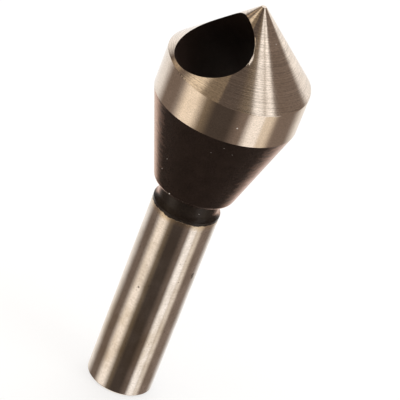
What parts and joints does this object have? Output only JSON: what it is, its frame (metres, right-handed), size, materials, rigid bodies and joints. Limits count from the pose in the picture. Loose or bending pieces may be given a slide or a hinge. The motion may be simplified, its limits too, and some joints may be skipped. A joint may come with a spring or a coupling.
{
  "type": "cross-hole countersink bit",
  "caption": "Cross-hole countersink bit: a round shank, a tapered head and a ninety degree cone with one skew chip hole whose rim is the cutting edge.",
  "frame": {"origin": "centre of the shank's flat end face, on the bit's axis", "axes": "+Z along the bit's axis from the shank's end to the point; -Y is the side of the cone where the chip hole opens; +X completes the frame"},
  "size_m": [0.021, 0.021, 0.065],
  "materials": {
    "tool_steel": "ground bright on the shank, land and cone; black oxide on the neck, tapered back and chip hole"
  },
  "bodies": {
    "root": {"countersink_bit": "tool_steel"}
  },
  "joints": []
}
